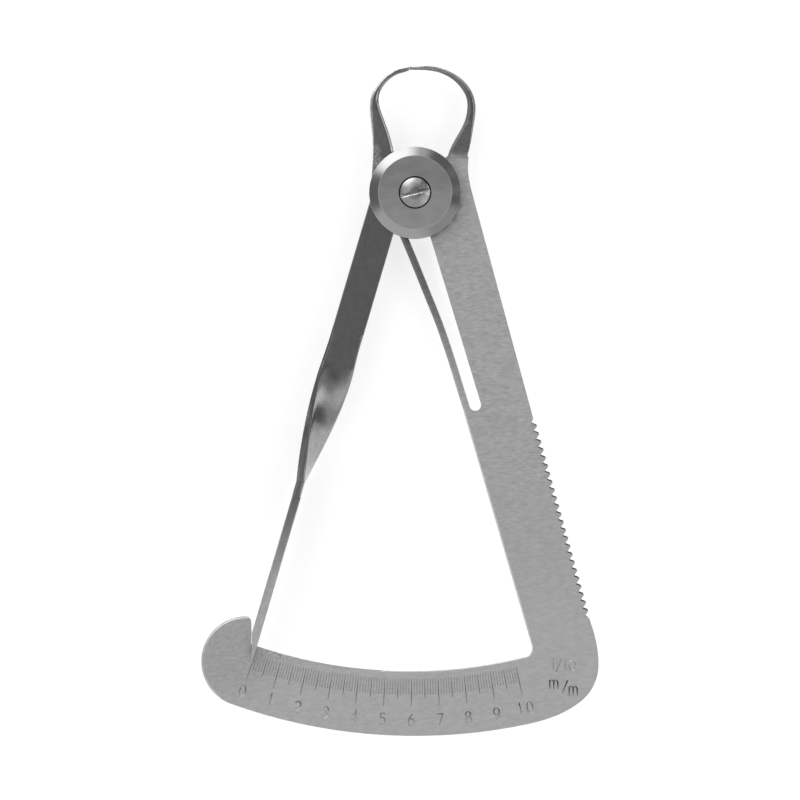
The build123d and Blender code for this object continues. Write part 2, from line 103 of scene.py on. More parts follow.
def finished(shape, node, body, edge, finishes, corner=25.0, keep=None, worn=-1,
             level=None):
    """The piece with its corners broken and shaded evenly, in place of the node.

    Edge is the width of a broken corner, and corner the angle in degrees from which an edge
    counts as one. Keep gives the share of the width that each corner gets. Worn is the number
    of the corners' finish, and level is the height of a face that is ground flat."""
    same_place, least_side, hole_sides = 0.0008 * MM, 0.0004 * MM, 8
    facing_up, near_level = 0.999, 0.001 * MM
    weight = shape.edges.layers.float.new("bevel_weight_edge")
    for side in shape.edges:
        if side.is_manifold and side.calc_face_angle(0.0) > math.radians(corner):
            side[weight] = float(keep(side)) if keep else 1.0
    for face in shape.faces:
        face.smooth = (level is None or face.normal.z < facing_up
                       or abs(face.verts[0].co.z - level) > near_level)
    mesh = bpy.data.meshes.new(node + "_shape")
    shape.to_mesh(mesh)
    shape.free()
    mesh.set_sharp_from_angle(angle=math.radians(corner))
    for finish in finishes:
        mesh.materials.append(finish)
    piece = bpy.data.objects.new(node + "_piece", mesh)
    bpy.context.scene.collection.objects.link(piece)
    bevel = piece.modifiers.new("broken corners", "BEVEL")
    bevel.limit_method = "WEIGHT"
    bevel.width = edge
    bevel.segments = 2
    bevel.material = worn
    bevel.miter_outer = "MITER_ARC"

    # Where corners meet in a point the bevel leaves slivers. They are merged, loose faces on a
    # seam of three are taken away, and the small gaps are closed.
    broken = bmesh.new()
    broken.from_mesh(shown_mesh(piece))
    bmesh.ops.remove_doubles(broken, verts=broken.verts, dist=same_place)
    bmesh.ops.dissolve_degenerate(broken, edges=broken.edges, dist=least_side)
    stray = [face for face in broken.faces
             if any(len(side.link_faces) > 2 for side in face.edges)
             and any(side.is_boundary for side in face.edges)]
    bmesh.ops.delete(broken, geom=stray, context="FACES")
    gaps = [side for side in broken.edges if side.is_boundary]
    bmesh.ops.holes_fill(broken, edges=gaps, sides=hole_sides)
    piece.modifiers.clear()
    broken.to_mesh(piece.data)
    broken.free()

    even = piece.modifiers.new("even shading", "WEIGHTED_NORMAL")
    even.weight = 100
    even.keep_sharp = True
    piece.data = shown_mesh(piece)
    piece.modifiers.clear()
    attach(piece, body)
    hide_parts(node)
    return piece


def put(tree, kind, settings=None, **sockets):
    """A node with its settings.

    Its sockets, by name or by i and a number, take another node's output or a value."""
    made = tree.nodes.new(kind)
    for label, value in (settings or {}).items():
        setattr(made, label, value)
    for label, value in sockets.items():
        by_number = label[0] == "i" and label[1:].isdigit()
        key = int(label[1:]) if by_number else label.replace("_", " ")
        if isinstance(value, bpy.types.NodeSocket):
            tree.links.new(value, made.inputs[key])
        else:
            made.inputs[key].default_value = value
    return made


def step(tree, kind, settings=None, **sockets):
    """The first output of a node, for chains in which each node works on the one before."""
    return put(tree, kind, settings, **sockets).outputs[0]


def math_of(tree, operation, *terms):
    """The result of a sum on outputs and numbers."""
    sockets = {"i%d" % number: term for number, term in enumerate(terms)}
    return step(tree, "ShaderNodeMath", {"operation": operation}, **sockets)


def vector_of(tree, operation, first, second):
    """The result of a sum on two vectors."""
    return step(tree, "ShaderNodeVectorMath", {"operation": operation}, i0=first, i1=second)


def scaled(tree, vector, factor):
    """A vector or a colour times a number."""
    return step(tree, "ShaderNodeVectorMath", {"operation": "SCALE"}, i0=vector, Scale=factor)


def eased(tree, value, start, end, before=0.0, after=1.0):
    """A number that goes smoothly from before to after while the value goes from start to end."""
    return step(tree, "ShaderNodeMapRange", {"interpolation_type": "SMOOTHSTEP"}, Value=value,
                From_Min=start, From_Max=end, To_Min=before, To_Max=after)


def flattened(tree, vector):
    """A place's three parts, and the place brought down to the XY plane."""
    parts = put(tree, "ShaderNodeSeparateXYZ", Vector=vector).outputs
    return parts, step(tree, "ShaderNodeCombineXYZ", X=parts["X"], Y=parts["Y"])


def marks_group(name, takes):
    """A shader group that gives Grain, a tool's fine marks, and Bands, the unevenness below."""
    tree = bpy.data.node_groups.new(name, "ShaderNodeTree")
    tree.interface.new_socket("Vector", in_out="INPUT", socket_type="NodeSocketVector")
    for label in takes:
        tree.interface.new_socket(label, in_out="INPUT", socket_type="NodeSocketFloat")
    for label in ("Grain", "Bands"):
        tree.interface.new_socket(label, in_out="OUTPUT", socket_type="NodeSocketFloat")
    return tree, put(tree, "NodeGroupInput").outputs, put(tree, "NodeGroupOutput").inputs


# The rings of the lathe drift a little, as the tool did.
drift_scale, drift_rings = 300.0, 2.0
turned_rings, given, wanted = marks_group("turned rings", ["Pitch"])
radius = put(turned_rings, "ShaderNodeVectorMath", {"operation": "LENGTH"},
             i0=flattened(turned_rings, given["Vector"])[1]).outputs["Value"]
pitch = math_of(turned_rings, "MULTIPLY", given["Pitch"], MM)
drift = put(turned_rings, "ShaderNodeTexNoise", Vector=given["Vector"], Scale=drift_scale,
            Detail=2.0).outputs["Fac"]
ring = math_of(turned_rings, "MULTIPLY_ADD", drift, drift_rings,
               math_of(turned_rings, "DIVIDE", radius, pitch))
noise = put(turned_rings, "ShaderNodeTexNoise", {"noise_dimensions": "1D"}, W=ring, Scale=1.0,
            Detail=2.0)
turned_rings.links.new(noise.outputs["Fac"], wanted["Grain"])
turned_rings.links.new(drift, wanted["Bands"])


def steel(name, group, pattern, dark, light, smooth, rough, depth, turn=0.0, tones=(), spots=(),
          calm=None, soil_and_shade=None):
    """Stainless steel whose tone, roughness and fine relief follow the marks of its tool.

    Depth is the marks' relief in millimetres, and turn their direction in degrees. A tone is a
    stretch along Y, from and to, past which the tone and the roughness are multiplied; most
    tones paint light and shade. A spot is a place in X and Y with its reach, where the tone
    changes by a share and is mottled by another share: darker patches on the plate's sector,
    painted light and painted shade elsewhere. Calm is the stretch along which the marks fade
    out. The last argument names the attribute that darkens the metal, with dirt and with
    painted shade."""
    blue, contrast, mean = 0.995, 1.7, 0.5
    faint_grain, strong_grain = 0.3, 0.7
    spot_core, mottle_scale, mottle_gain = 0.3, 2600.0, 4.0
    made = bpy.data.materials.new(name)
    made.use_nodes = True
    tree = made.node_tree
    shader = tree.nodes["Principled BSDF"]
    shader.inputs["Metallic"].default_value = 1.0
    place = put(tree, "ShaderNodeTexCoord").outputs["Object"]
    parts, flat = flattened(tree, place)

    def along(start, end, before, after):
        """A number that changes over a stretch along Y."""
        return eased(tree, parts["Y"], start * MM, end * MM, before, after)

    turned = step(tree, "ShaderNodeMapping", Vector=place, Rotation=(0, 0, math.radians(turn)))
    marks = put(tree, "ShaderNodeGroup", {"node_tree": group}, Vector=turned, **pattern).outputs
    spread = math_of(tree, "ADD", marks["Grain"], marks["Bands"])
    spread = math_of(tree, "SUBTRACT", spread, 1.0)
    if calm:
        spread = math_of(tree, "MULTIPLY", spread, along(*calm))
    mix = math_of(tree, "MULTIPLY_ADD", spread, contrast, mean)
    tone = put(tree, "ShaderNodeMix", {"data_type": "RGBA"}, Factor=mix)
    for end, value in (("A", dark), ("B", light)):
        tone.inputs[end].default_value = (value, value, value * blue, 1)
    colour = tone.outputs["Result"]
    gloss = step(tree, "ShaderNodeMapRange", Value=marks["Grain"], From_Min=faint_grain,
                 From_Max=strong_grain, To_Min=rough, To_Max=smooth)
    for start, end, change, gloss_change in tones:
        colour = scaled(tree, colour, along(start, end, 1.0, change))
        gloss = math_of(tree, "MULTIPLY", gloss, along(start, end, 1.0, gloss_change))
    for x, y, reach, change, mottle in spots:
        away = put(tree, "ShaderNodeVectorMath", {"operation": "DISTANCE"}, i0=flat,
                   i1=(x * MM, y * MM, 0)).outputs["Value"]
        near = eased(tree, away, reach * MM, spot_core * reach * MM)
        coarse = put(tree, "ShaderNodeTexNoise", Vector=flat, Scale=mottle_scale,
                     Detail=2.0).outputs["Fac"]
        coarse = math_of(tree, "SUBTRACT", coarse, 0.5)
        coarse = math_of(tree, "MULTIPLY_ADD", coarse, mottle_gain * mottle, change)
        colour = scaled(tree, colour, math_of(tree, "MULTIPLY_ADD", near, coarse, 1.0))
    # The attribute darkens the colour with dirt and with painted shade.
    if soil_and_shade:
        grime_and_shade = put(tree, "ShaderNodeAttribute", {"attribute_name": soil_and_shade}).outputs["Fac"]
        colour = scaled(tree, colour, math_of(tree, "SUBTRACT", 1.0, grime_and_shade))
    relief = step(tree, "ShaderNodeBump", Height=marks["Grain"], Distance=depth * MM,
                  Strength=1.0)
    tree.links.new(colour, shader.inputs["Base Color"])
    tree.links.new(gloss, shader.inputs["Roughness"])
    tree.links.new(relief, shader.inputs["Normal"])
    return made


turned_steel = steel("turned nut steel", turned_rings, {"Pitch": 0.09}, dark=0.42, light=0.56,
                     smooth=0.24, rough=0.36, depth=0.004)
finished(rough_shape("rear_nut"), "rear_nut", "frame", edge=0.1 * MM,
         finishes=[turned_steel])

# Frame plate
# The right jaw, the arm and the graduated sector, cut from one sheet of stainless steel and
# brushed across. The graduations and numerals are cut as grooves, darkened with dirt and with
# painted shade.
plate_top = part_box("friction_washer")[0].z
plate_thick = 1.5
wave_scale, sway_share, broad_share = 60.0, 0.9, 0.8

brush_grain, given, wanted = marks_group("brush grain", ["Length", "Width", "Band"])
wave = put(brush_grain, "ShaderNodeTexNoise", Vector=given["Vector"], Scale=wave_scale,
           Detail=2.0).outputs["Color"]
bent = vector_of(brush_grain, "ADD", given["Vector"], scaled(brush_grain, wave, sway_share * MM))
fine = (given["Length"], given["Width"])
broad = (math_of(brush_grain, "MULTIPLY", given["Length"], broad_share),
         math_of(brush_grain, "MULTIPLY", given["Width"], given["Band"]))
for label, (length, width), detail in (("Grain", fine, 3.0), ("Bands", broad, 1.0)):
    stroke = step(brush_grain, "ShaderNodeCombineXYZ", X=length, Y=width, Z=width)
    strokes = vector_of(brush_grain, "DIVIDE", bent, scaled(brush_grain, stroke, MM))
    noise = put(brush_grain, "ShaderNodeTexNoise", Vector=strokes, Scale=1.0, Detail=detail,
                Roughness=0.6)
    brush_grain.links.new(noise.outputs["Fac"], wanted[label])


def brushed(length, width, band):
    """A brush's marks: their length and width in millimetres, and a band's width in marks."""
    return {"Length": length, "Width": width, "Band": band}


# The tones along Y paint shade and light on the right jaw: darker from its foot, where it is also polished
# smoother, darker again towards its middle and lighter near its tip. Past Y -52 the sector is made a little
# lighter. The first two spots are darker patches on the sector; the other four, in an arc at the pivot's
# lower right, paint the disc's shadow on the plate.
plate_steel = steel(
    "brushed plate steel", brush_grain, brushed(1.2, 0.14, 3.0), dark=0.65, light=0.96,
    smooth=0.40, rough=0.50, depth=0.006, turn=-3.0,
    tones=[(4.6, 6.6, 0.5, 0.45), (9.0, 13.0, 0.75, 1.0), (14.0, 18.0, 2.2, 1.0),
           (-52.0, -66.0, 1.06, 1.0)],
    spots=[(-27.5, -69.0, 9.0, -0.12, 0.1), (-19.0, -66.3, 5.0, -0.06, 0.5),
           (5.9, -1.6, 1.4, -0.5, 0.0), (5.2, -3.2, 1.4, -0.55, 0.0),
           (4.0, -4.6, 1.4, -0.6, 0.0), (2.5, -5.6, 1.4, -0.6, 0.0)],
    calm=(-36.0, -62.0, 0.8, 0.45))
edge_steel = steel("ground edge steel", brush_grain, brushed(1.0, 0.2, 3.0), dark=0.80,
                   light=0.92, smooth=0.45, rough=0.55, depth=0.004, soil_and_shade="soil_and_shade")
cut_steel = steel("cut groove steel", brush_grain, brushed(0.5, 0.2, 2.0), dark=0.80,
                  light=0.95, smooth=0.28, rough=0.4, depth=0.004, soil_and_shade="soil_and_shade")
plate_finishes = [plate_steel, edge_steel, cut_steel]
edge_finish, cut_finish = 1, 2

# Each kind of cut has a depth and the width of its sloping side. The lines end and the numerals
# begin at a radius, and the unit lies past a turn from the middle.
mark_depth, rim_depth = 0.1, 0.006
groove_sizes = {"unit": (0.07, 0.07), "line": (0.045, 0.045), "numeral": (0.045, 0.05)}
fine_to_r, numeral_from_r, numeral_lit_r = 74.4, 76.0, 78.15
unit_from_turn, tenth_to_y = 14.0, -72.0
long_line, end_cut = 2.6, 0.4
# How dark each kind of cut is made: the unit, the tenths and the lines with dirt, the long lines' outer ends
# with painted shade, and the numerals' floors with painted shade that lightens outwards, as painted light.
unit_soil, tenth_soil = 0.85, 0.1
line_soil, line_end_shade, end_fade = 0.12, 0.8, 0.6
numeral_shade, numeral_fall, numeral_fade = 0.85, 0.8, 1.1


def groove_floors(shape):
    """The floors of the engraving, each as the faces that hang together.

    They are kept in the order of the mesh, so that the plate comes out the same each time."""
    floor_z, near_floor, facing_up = plate_top - mark_depth * MM, 0.01 * MM, 0.99
    left = dict.fromkeys(face for face in shape.faces if face.normal.z > facing_up
                         and abs(face.calc_center_median().z - floor_z) < near_floor)
    floors = []
    while left:
        floor = [left.popitem()[0]]
        for face in floor:
            for other in [other for side in face.edges for other in side.link_faces]:
                if other in left:
                    del left[other]
                    floor.append(other)
        floors.append(floor)
    return floors


def share_past(value, start, stretch):
    """How far a value is through a stretch, from 0 to 1."""
    return min(max((value - start) / stretch, 0.0), 1.0)


def cut_grooves(shape):
    """Gives the graduations and numerals the sloping sides of a graver's cut, and darkens them.

    The fine lines are shallow and nearly clean. The longer lines darken outwards, as painted
    shade where their ends slope like the sector's chamfer. The numerals' floors are painted dark
    inwards and light outwards, as painted shade and painted light. The unit is the darkest, and
    the tenths above it the cleanest."""
    dirt_and_shade = shape.verts.layers.float.new("soil_and_shade")
    for floor in groove_floors(shape):
        rim = dict.fromkeys(vert for face in floor for vert in face.verts)
        reach = [vert.co.xy.length / MM for vert in rim]
        middle = sum((vert.co for vert in rim), Vector()) / len(rim) / MM
        is_unit = math.degrees(math.atan2(middle.x, -middle.y)) > unit_from_turn
        is_line = not is_unit and min(reach) < numeral_from_r
        is_long = is_line and max(reach) - min(reach) > long_line
        if is_long:
            outwards = middle.normalized()
            sides = dict.fromkeys(side for face in floor for side in face.edges)
            cut = bmesh.ops.bisect_plane(
                shape, geom=[*floor, *sides, *rim],
                plane_co=outwards * (fine_to_r + end_cut) * MM, plane_no=outwards)
            floor = [face for face in cut["geom"] if isinstance(face, bmesh.types.BMFace)]
        depth, slope = groove_sizes["unit" if is_unit else "line" if is_line else "numeral"]
        sides = bmesh.ops.inset_region(shape, faces=floor, thickness=slope * MM,
                                       use_even_offset=True)["faces"]
        low = {vert for face in floor for vert in face.verts}
        rim = {vert for face in sides for vert in face.verts} - low
        for vert in low:
            vert.co.z = plate_top - depth * MM
        for vert in rim:
            vert.co.z = plate_top - rim_depth * MM
        for vert in rim | low:
            out = vert.co.xy.length / MM
            if is_unit:
                vert[dirt_and_shade] = unit_soil if middle.y < tenth_to_y else tenth_soil
            elif is_line:
                darker = share_past(out, fine_to_r, end_fade) * is_long
                vert[dirt_and_shade] = line_soil + line_end_shade * darker
            else:
                lit_share = share_past(out, numeral_lit_r, numeral_fade)
                vert[dirt_and_shade] = (numeral_shade - numeral_fall * lit_share) * (vert in low)
        for face in floor + sides:
            face.material_index = cut_finish
    return shape


# The teeth of the thumb edge go down from the first notch, one run at a time.
notch, tooth_run = (17.346, -34.222), (0.3329, 1.2)
tooth_height, edge_slack = 0.72, 0.15
serration_to_y, serration_from_y = -63.2, -34.1


def tooth_spot(place):
    """Where a place is on its tooth: outwards from the notches and downwards from the last."""
    down = notch[1] - place.y / MM
    return place.x / MM - notch[0] - down * tooth_run[0] / tooth_run[1], down % tooth_run[1]


def in_serration(place):
    """True at the teeth of the thumb edge."""
    return (serration_to_y * MM < place.y < serration_from_y * MM
            and tooth_spot(place)[0] > -edge_slack)


leaf_root_x, leaf_root_y = 7.66, -32.04
leaf_root = Vector((leaf_root_x, leaf_root_y, plate_top / MM - plate_thick / 2)) * MM
root_reach = 0.6
jaw_foot_from, jaw_foot_to = 5.3, 5.7
tooth_share, rim_share = 0.2, 0.5


def plate_corner(side):
    """Half a width on the plate's outer corners and less on its teeth.

    There is none round the engraving, at the leaf's root or below the jaw."""
    lowest = min(vert.co.z for face in side.link_faces for vert in face.verts)
    middle = (side.verts[0].co + side.verts[1].co) / 2
    engraved = lowest > plate_top - 2 * mark_depth * MM
    at_root = (middle - leaf_root).length < root_reach * MM
    below_jaw = jaw_foot_from * MM < middle.y < jaw_foot_to * MM
    if engraved or at_root or below_jaw:
        return 0.0
    return tooth_share if in_serration(middle) else rim_share


def slopes(face, least, most):
    """True if the share of straight up in a face's direction lies between the two."""
    return least < face.normal.z < most


# The chamfers of the arm and the sector are ground.
plate_shape = cut_grooves(rough_shape("frame_plate"))
chamfer_slope = (0.2, 0.97)
arm_from_y, sector_from_y = -20.0, -60.0
for face in plate_shape.faces:
    on_arm = face.calc_center_median().y < arm_from_y * MM
    if on_arm and slopes(face, *chamfer_slope) and face.material_index == 0:
        face.material_index = edge_finish

# The hook's outer corner is rounded more than the rest, and bright from handling.
hook_middle, hook_r, hook_near = Vector((-25.18, -69.92)), 6.73, 0.08
hook_from_turn, hook_to_turn = 88.0, 230.0
hook_round, near_top = 0.26, 0.001
hook_rim = []
for side in plate_shape.edges:
    out = (side.verts[0].co + side.verts[1].co).xy / 2 / MM - hook_middle
    around = math.degrees(math.atan2(out.y, out.x)) % 360.0
    on_top = all(abs(vert.co.z - plate_top) < near_top * MM for vert in side.verts)
    if on_top and abs(out.length - hook_r) < hook_near and hook_from_turn < around < hook_to_turn:
        hook_rim.append(side)
bmesh.ops.bevel(plate_shape, geom=hook_rim, offset=hook_round * MM, segments=3,
                affect="EDGES", material=edge_finish)

# The teeth are hooked a little downwards, and their upper flanks are filed aslant and painted
# dark, as shade.
tip_droop, top_droop, droop_to = 0.26, 0.19, 1.15
flank_shade, flank_up, flank_tilt = 0.93, 0.4, 0.6
in_notch = tooth_run[1] - 0.01
dirt_and_shade = plate_shape.verts.layers.float["soil_and_shade"]
for vert in plate_shape.verts:
    if in_serration(vert.co):
        outwards, down = tooth_spot(vert.co)
        down = 0.0 if down > in_notch else down
        on_top = vert.co.z > plate_top - plate_thick / 3 * MM
        droop = tip_droop * max(outwards, 0.0) / tooth_height + top_droop * on_top
        vert.co.y -= droop * max(1.0 - down / droop_to, 0.0) * MM
        vert[dirt_and_shade] = flank_shade
plate_shape.normal_update()

# Painted shade darkens the sector's inner chamfer along its top, as it does the outer ends of
# the long lines, which slope the same way, and the jaw's slope towards the bow's middle.
bow_middle = Vector((0.0, 11.0))
chamfer_shade, chamfer_up, chamfer_top = 0.6, 0.3, 0.01
jaw_from_y, jaw_slope_shade, jaw_slope, jaw_inward = 5.6, 0.68, (0.7, 0.95), 0.25


def towards_bow(face):
    """How far a face looks towards the middle of the bow of the jaws, and below 0 away from it."""
    inward = bow_middle - face.calc_center_median().xy / MM
    return face.normal.xy.dot(inward) / inward.length


for face in plate_shape.faces:
    middle = face.calc_center_median()
    if in_serration(middle) and face.normal.y > flank_up and face.normal.z < flank_tilt:
        face.material_index = edge_finish
    on_sector = middle.y < sector_from_y * MM
    if on_sector and slopes(face, *chamfer_slope) and face.normal.y > chamfer_up:
        for vert in face.verts:
            vert[dirt_and_shade] = chamfer_shade if vert.co.z > plate_top - chamfer_top * MM else 0.0
    on_jaw = middle.y > jaw_from_y * MM
    if on_jaw and slopes(face, *jaw_slope) and towards_bow(face) > jaw_inward:
        face.material_index = edge_finish
        for vert in face.verts:
            vert[dirt_and_shade] = jaw_slope_shade
finished(plate_shape, "frame_plate", "frame", edge=0.12 * MM,
         finishes=plate_finishes, keep=plate_corner, worn=edge_finish, level=plate_top)

# Leaf spring
# The thin leaf sawn free of the plate's arm and set over to press on the pointer arm's stud. It
# is as thick as the plate and bends when the pointer moves, fixed at its root.
leaf_width, leaf_corner, leaf_steps, leaf_sharp = 1.07, 0.05, 60, 50.0
leaf_line = [(-2.67, -4.3), (-1.42, -7.1), (1.61, -14.5), (3.97, -20.5),
             (leaf_root_x, leaf_root_y)]
# The leaf's low tone paints the darkness that it reflects, and it is painted lighter towards its root, as
# light.
leaf_steel = steel("sawn leaf steel", brush_grain, brushed(1.2, 0.15, 4.0), dark=0.30,
                   light=0.40, smooth=0.30, rough=0.42, depth=0.006,
                   tones=[(-12.0, -31.0, 2.2, 1.2)])


def shape_group(name, takes):
    """A geometry group with its named inputs, and its inside sockets."""
    tree = bpy.data.node_groups.new(name, "GeometryNodeTree")
    for label, kind in {"Geometry": "Geometry", **takes}.items():
        tree.interface.new_socket(label, in_out="INPUT", socket_type="NodeSocket" + kind)
    tree.interface.new_socket("Geometry", in_out="OUTPUT", socket_type="NodeSocketGeometry")
    return tree, put(tree, "NodeGroupInput").outputs, put(tree, "NodeGroupOutput").inputs


def formed(name, tree, points, **values):
    """The mesh that a geometry group makes from a line of points.

    Its inputs are set by their identifiers."""
    mesh = bpy.data.meshes.new(name)
    links = [(number, number + 1) for number in range(len(points) - 1)]
    mesh.from_pydata([Vector(point) * MM for point in points], links, [])
    host = bpy.data.objects.new(name, mesh)
    bpy.context.scene.collection.objects.link(host)
    former = host.modifiers.new("former", "NODES")
    former.node_group = tree
    for item in tree.interface.items_tree:
        label = item.name.replace(" ", "_")
        if item.item_type == "SOCKET" and item.in_out == "INPUT" and label in values:
            former[item.identifier] = values[label]
    made = shown_mesh(host)
    host.modifiers.clear()
    bpy.data.objects.remove(host)
    return made


def bar_outline(tree, width, height, rounding, points):
    """The outline of a flat bar with its corners rounded over some points."""
    bar = step(tree, "GeometryNodeCurvePrimitiveQuadrilateral", Width=width, Height=height)
    return step(tree, "GeometryNodeFilletCurve", {"mode": "POLY"}, Curve=bar, Count=points,
                Radius=rounding)


def made_solid(tree, form, finish):
    """The form with its instances realized and its finish set."""
    whole = step(tree, "GeometryNodeRealizeInstances", Geometry=form)
    return step(tree, "GeometryNodeSetMaterial", Geometry=whole, Material=finish)


bent_leaf, given, wanted = shape_group("bent leaf", {
    "Width": "Float", "Height": "Float", "Corner": "Float", "Steps": "Int",
    "Finish": "Material"})
spine = step(bent_leaf, "GeometryNodeMeshToCurve", Mesh=given["Geometry"])
spine = step(bent_leaf, "GeometryNodeCurveSplineType", {"spline_type": "BEZIER"}, Curve=spine)
spine = step(bent_leaf, "GeometryNodeCurveSetHandles",
             {"handle_type": "AUTO", "mode": {"LEFT", "RIGHT"}}, Curve=spine)
spine = step(bent_leaf, "GeometryNodeResampleCurve", Curve=spine, Count=given["Steps"])
spine = step(bent_leaf, "GeometryNodeSetCurveNormal", {"mode": "Z_UP"}, Curve=spine)
outline = bar_outline(bent_leaf, given["Width"], given["Height"], given["Corner"], points=2)
leaf_form = step(bent_leaf, "GeometryNodeCurveToMesh", Curve=spine, Profile_Curve=outline,
                 Fill_Caps=True)
leaf_form = made_solid(bent_leaf, leaf_form, given["Finish"])
bent_leaf.links.new(leaf_form, wanted["Geometry"])

leaf_mid_z = plate_top / MM - plate_thick / 2
leaf_mesh = formed("leaf_form", bent_leaf, [(x, y, leaf_mid_z) for x, y in leaf_line],
                   Width=leaf_width * MM, Height=plate_thick * MM, Corner=leaf_corner * MM,
                   Steps=leaf_steps, Finish=leaf_steel)
leaf_mesh.shade_smooth()
leaf_mesh.set_sharp_from_angle(angle=math.radians(leaf_sharp))
leaf = bpy.data.objects.new("leaf_spring_piece", leaf_mesh)
bpy.context.scene.collection.objects.link(leaf)
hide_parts("leaf_spring")
leaf_away = Vector((leaf_root_x, leaf_root_y, 0)).normalized() * MM
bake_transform(leaf, "frame", "pointer", start=tuple(22.0 * leaf_away), end=tuple(-1.0 * leaf_away))

# Friction washer
# A thin washer of stainless steel between the plate and the pointer arm.
finished(rough_shape("friction_washer"), "friction_washer", "frame",
         edge=0.02 * MM, finishes=[turned_steel])

# Pointer arm
# Left jaw, hub, flat strip, quarter twist and pointer, ground from one strip of stainless steel.
# The strip is twisted cold, so that the pointer stands on edge over the scale.
strip_lean = math.radians(-16.45)
strip_way = Vector((math.sin(strip_lean), -math.cos(strip_lean), 0))
strip_side = Vector((math.cos(strip_lean), math.sin(strip_lean), 0))
strip_below_bush = 0.67
strip_mid = Vector((0, 0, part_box("pivot_bush")[1].z / MM - strip_below_bush))
strip_offset, strip_width, strip_thick = -3.72, 4.76, 1.3
strip_round, twist_crown, twist_drift, twist_neck = 0.36, 0.15, 0.44, 0.08
twist_from, twist_to, twist_steps = 27.9, 46.2, 110
form_from, form_to = 24.0, 48.2
# The strip's low tone paints the darkness that the polished strip reflects, and past the twist the tone and
# the roughness rise. The left jaw is painted lighter at its foot and above Y 8, with a mottle, and darker
# near its tip, as light and shade.
arm_steel = steel(
    "satin arm steel", brush_grain, brushed(0.8, 0.5, 3.0), dark=0.31, light=0.37,
    smooth=0.20, rough=0.26, depth=0.003,
    tones=[(-40.0, -60.0, 2.15, 1.7), (4.5, 8.0, 1.2, 0.9), (15.5, 18.0, 0.65, 1.0)],
    spots=[(-5.7, 2.4, 1.7, 1.4, 1.2), (-5.8, 4.4, 1.5, 1.2, 1.2),
           (-6.0, 6.3, 1.3, 0.9, 1.0)])
# Painted shade for the twist's edge: a dark steel, painted lighter along two stretches.
twist_edge_shade = steel(
    "dull twist edge steel", brush_grain, brushed(0.8, 0.5, 3.0), dark=0.11, light=0.14,
    smooth=0.3, rough=0.36, depth=0.001,
    tones=[(-31.0, -35.0, 1.75, 1.0), (-40.0, -43.5, 2.0, 0.8)])
edge_shade_tint = twist_edge_shade.node_tree.nodes["Principled BSDF"].inputs["Specular Tint"]
edge_shade_tint.default_value = (0.4, 0.4, 0.4, 1)


def strip_point(s):
    """The place in millimetres on the strip's middle line that is s away from the pivot."""
    return strip_mid + s * strip_way + strip_offset * strip_side


quarter_twist, given, wanted = shape_group("quarter twist", {
    "Width": "Float", "Thickness": "Float", "Round": "Float", "Start": "Float", "End": "Float",
    "Drift": "Float", "Neck": "Float", "Crown": "Float", "Side": "Vector", "Steps": "Int",
    "Finish": "Material", "Edge Finish": "Material"})


def twist_of(operation, *terms):
    """The result of a sum in the twist's group."""
    return math_of(quarter_twist, operation, *terms)


# The share of the quarter turn that each point of the line has, and the slight neck round it.
neck_in_to, neck_out_to = 0.25, 0.88
spine = step(quarter_twist, "GeometryNodeMeshToCurve", Mesh=given["Geometry"])
spine = step(quarter_twist, "GeometryNodeResampleCurve", Curve=spine, Count=given["Steps"])
gone = put(quarter_twist, "GeometryNodeSplineParameter").outputs["Factor"]
twisted = step(quarter_twist, "ShaderNodeMapRange", Value=gone, From_Min=given["Start"],
               From_Max=given["End"])
necked = twist_of("MULTIPLY", eased(quarter_twist, gone, 0.0, neck_in_to),
                  eased(quarter_twist, gone, 1.0, neck_out_to))
kept = put(quarter_twist, "GeometryNodeCaptureAttribute", Geometry=spine)
for number, (label, value) in enumerate((("twisted", twisted), ("necked", necked)), start=1):
    kept.capture_items.new("FLOAT", label)
    quarter_twist.links.new(value, kept.inputs[number])
spine, twisted, necked = kept.outputs[:3]

# The line drifts aside as it turns, and it carries the tilt of the strip.
turn = twist_of("MULTIPLY", twisted, math.pi / 2)
glide = twist_of("MULTIPLY", eased(quarter_twist, twisted, 0.0, 1.0), given["Drift"])
aside = scaled(quarter_twist, given["Side"], twist_of("MULTIPLY", glide, -1.0))
spine = step(quarter_twist, "GeometryNodeSetPosition", Geometry=spine, Offset=aside)
spine = step(quarter_twist, "GeometryNodeSetCurveNormal", {"mode": "Z_UP"}, Curve=spine)
spine = step(quarter_twist, "GeometryNodeSetCurveTilt", Curve=spine,
             Tilt=twist_of("MULTIPLY", turn, -1.0))
outline = bar_outline(quarter_twist, given["Width"], given["Thickness"], given["Round"],
                      points=4)
outline = step(quarter_twist, "GeometryNodeSubdivideCurve", Curve=outline, Cuts=7)
section = put(quarter_twist, "GeometryNodeCaptureAttribute", Geometry=outline)
section.capture_items.new("VECTOR", "place")
quarter_twist.links.new(step(quarter_twist, "GeometryNodeInputPosition"), section.inputs[1])
swept = step(quarter_twist, "GeometryNodeCurveToMesh", Curve=spine,
             Profile_Curve=section.outputs[0])

# The forging leaves the twist slightly crowned on top, most at half its turn.
place = put(quarter_twist, "ShaderNodeSeparateXYZ", Vector=section.outputs[1]).outputs
flat_half = twist_of("SUBTRACT", twist_of("MULTIPLY", given["Width"], 0.5), given["Round"])
off = twist_of("DIVIDE", place["X"], flat_half)
bow = twist_of("SUBTRACT", 1.0, twist_of("MULTIPLY", off, off))
bow = twist_of("MAXIMUM", bow, 0.0)
top_from = twist_of("MULTIPLY_ADD", given["Thickness"], 0.5, -0.001 * MM)
on_top = twist_of("GREATER_THAN", place["Y"], top_from)
swell = twist_of("SINE", twist_of("MULTIPLY", twisted, math.pi))
swell = twist_of("MULTIPLY", twist_of("MULTIPLY", swell, given["Crown"]),
                 twist_of("MULTIPLY", bow, on_top))


